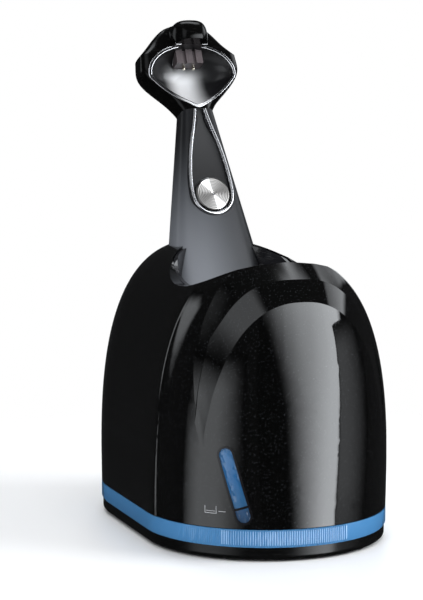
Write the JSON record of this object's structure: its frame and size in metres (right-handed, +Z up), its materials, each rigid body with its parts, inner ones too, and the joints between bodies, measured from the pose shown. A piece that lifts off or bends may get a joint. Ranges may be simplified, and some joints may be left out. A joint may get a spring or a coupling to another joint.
{
  "type": "shaver cleaning station",
  "caption": "Cleaning station for an electric shaver: domed housing with a wash well, leaning tower with a cradle cup, start button and rear cartridge.",
  "frame": {"origin": "middle of the footprint, on the surface that the rubber feet stand on", "axes": "+Z up, -Y towards the front with the level window, +X to the right seen from the front"},
  "size_m": [0.104, 0.1605, 0.2182],
  "materials": {
    "shell_black": "black gloss with a fine pearl fleck",
    "foot_black": "black gloss",
    "ring_blue": "blue, fine upright ribs",
    "rubber_black": "matt black",
    "steel": "plain steel",
    "lens_blue": "tinted blue, polished",
    "mark_black": "black bar",
    "basin_black": "black, polished",
    "tub_grey": "dark blue-grey, satin",
    "lid_blue": "blue, satin",
    "filter_white": "white felt",
    "inner_grey": "dark grey, moulded",
    "pump_white": "off-white, moulded",
    "hose_clear": "grey silicone",
    "board_green": "green circuit board",
    "lead_dark": "black insulation",
    "tower_grey": "satin blue-grey",
    "insert_black": "polished black channel",
    "trim_bright": "bright edge",
    "button_metal": "spun in rings",
    "hood_black": "black gloss",
    "cup_black": "black gloss with a thin bright rim",
    "contact_grey": "brown-grey, satin",
    "contact_metal": "plated contacts"
  },
  "bodies": {
    "base": {"base_tray": "foot_black", "rubber_feet": "rubber_black", "trim_ring": "ring_blue", "guide_posts": "steel", "lift_springs": "steel", "post_screws": "steel", "latch_clips": "inner_grey"},
    "cartridge": {"cartridge_tub": "tub_grey", "cartridge_lid": "lid_blue", "port_valves": "rubber_black", "suction_tube": "inner_grey", "drain_filter": "filter_white"},
    "housing": {"front_shell": "shell_black", "rear_shell": "shell_black", "guide_sleeves": "inner_grey", "window_bezel": "mark_black", "level_window": "lens_blue", "level_mark": "mark_black", "wash_basin": "basin_black", "chassis": "inner_grey", "drain_seal": "rubber_black", "suction_seal": "rubber_black", "housing_screws": "steel", "basin_screws": "steel", "tower_bracket": "inner_grey", "bracket_screws": "steel", "pump_housing": "pump_white", "pump_cover": "pump_white", "pump_motor": "steel", "wash_hose": "hose_clear", "wash_nozzle": "inner_grey", "control_board": "board_green", "power_socket": "mark_black", "power_leads": "lead_dark", "tower_front": "tower_grey", "tower_rear": "tower_grey", "cradle_insert": "insert_black", "cradle_trim": "trim_bright", "wire_harness": "lead_dark", "head_hood": "hood_black", "head_cup": "cup_black", "contact_block": "contact_grey", "start_switch": "inner_grey", "lift_button_spring": "steel", "start_button_spring": "steel", "contact_spring_left": "steel", "contact_spring_right": "steel"},
    "impeller": {"impeller": "pump_white", "motor_shaft": "steel"},
    "lift_button": {"lift_button": "shell_black", "release_bar": "inner_grey"},
    "start_button": {"start_button": "button_metal"},
    "contact_pin_left": {"contact_pin_left": "contact_metal"},
    "contact_pin_right": {"contact_pin_right": "contact_metal"}
  },
  "joints": [
    {"name": "housing_lift", "type": "slide", "parent": "base", "child": "housing", "axis": [0, 0, 1], "range_m": [0, 0.034], "deforming": ["lift_springs", "latch_clips"]},
    {"name": "cartridge_slide", "type": "slide", "parent": "base", "child": "cartridge", "axis": [0, 1, 0], "range_m": [0, 0.15]},
    {"name": "lift_button_press", "type": "slide", "parent": "housing", "child": "lift_button", "axis": [0, -1, 0], "range_m": [0, 0.004], "stiffness_N_per_m": 400, "deforming": ["lift_button_spring", "latch_clips"]},
    {"name": "start_button_press", "type": "slide", "parent": "housing", "child": "start_button", "axis": [0, 0.903, -0.4297], "range_m": [0, 0.0012], "stiffness_N_per_m": 500, "deforming": ["start_button_spring"]},
    {"name": "contact_pin_left_press", "type": "slide", "parent": "housing", "child": "contact_pin_left", "axis": [0, 0.4297, 0.903], "range_m": [0, 0.0015], "stiffness_N_per_m": 300, "deforming": ["contact_spring_left"]},
    {"name": "contact_pin_right_press", "type": "slide", "parent": "housing", "child": "contact_pin_right", "axis": [0, 0.4297, 0.903], "range_m": [0, 0.0015], "stiffness_N_per_m": 300, "deforming": ["contact_spring_right"]},
    {"name": "pump_spin", "type": "hinge", "parent": "housing", "child": "impeller", "pos_m": [0.022, 0.036, 0.058], "axis": [0, 0, 1], "continuous": true}
  ]
}
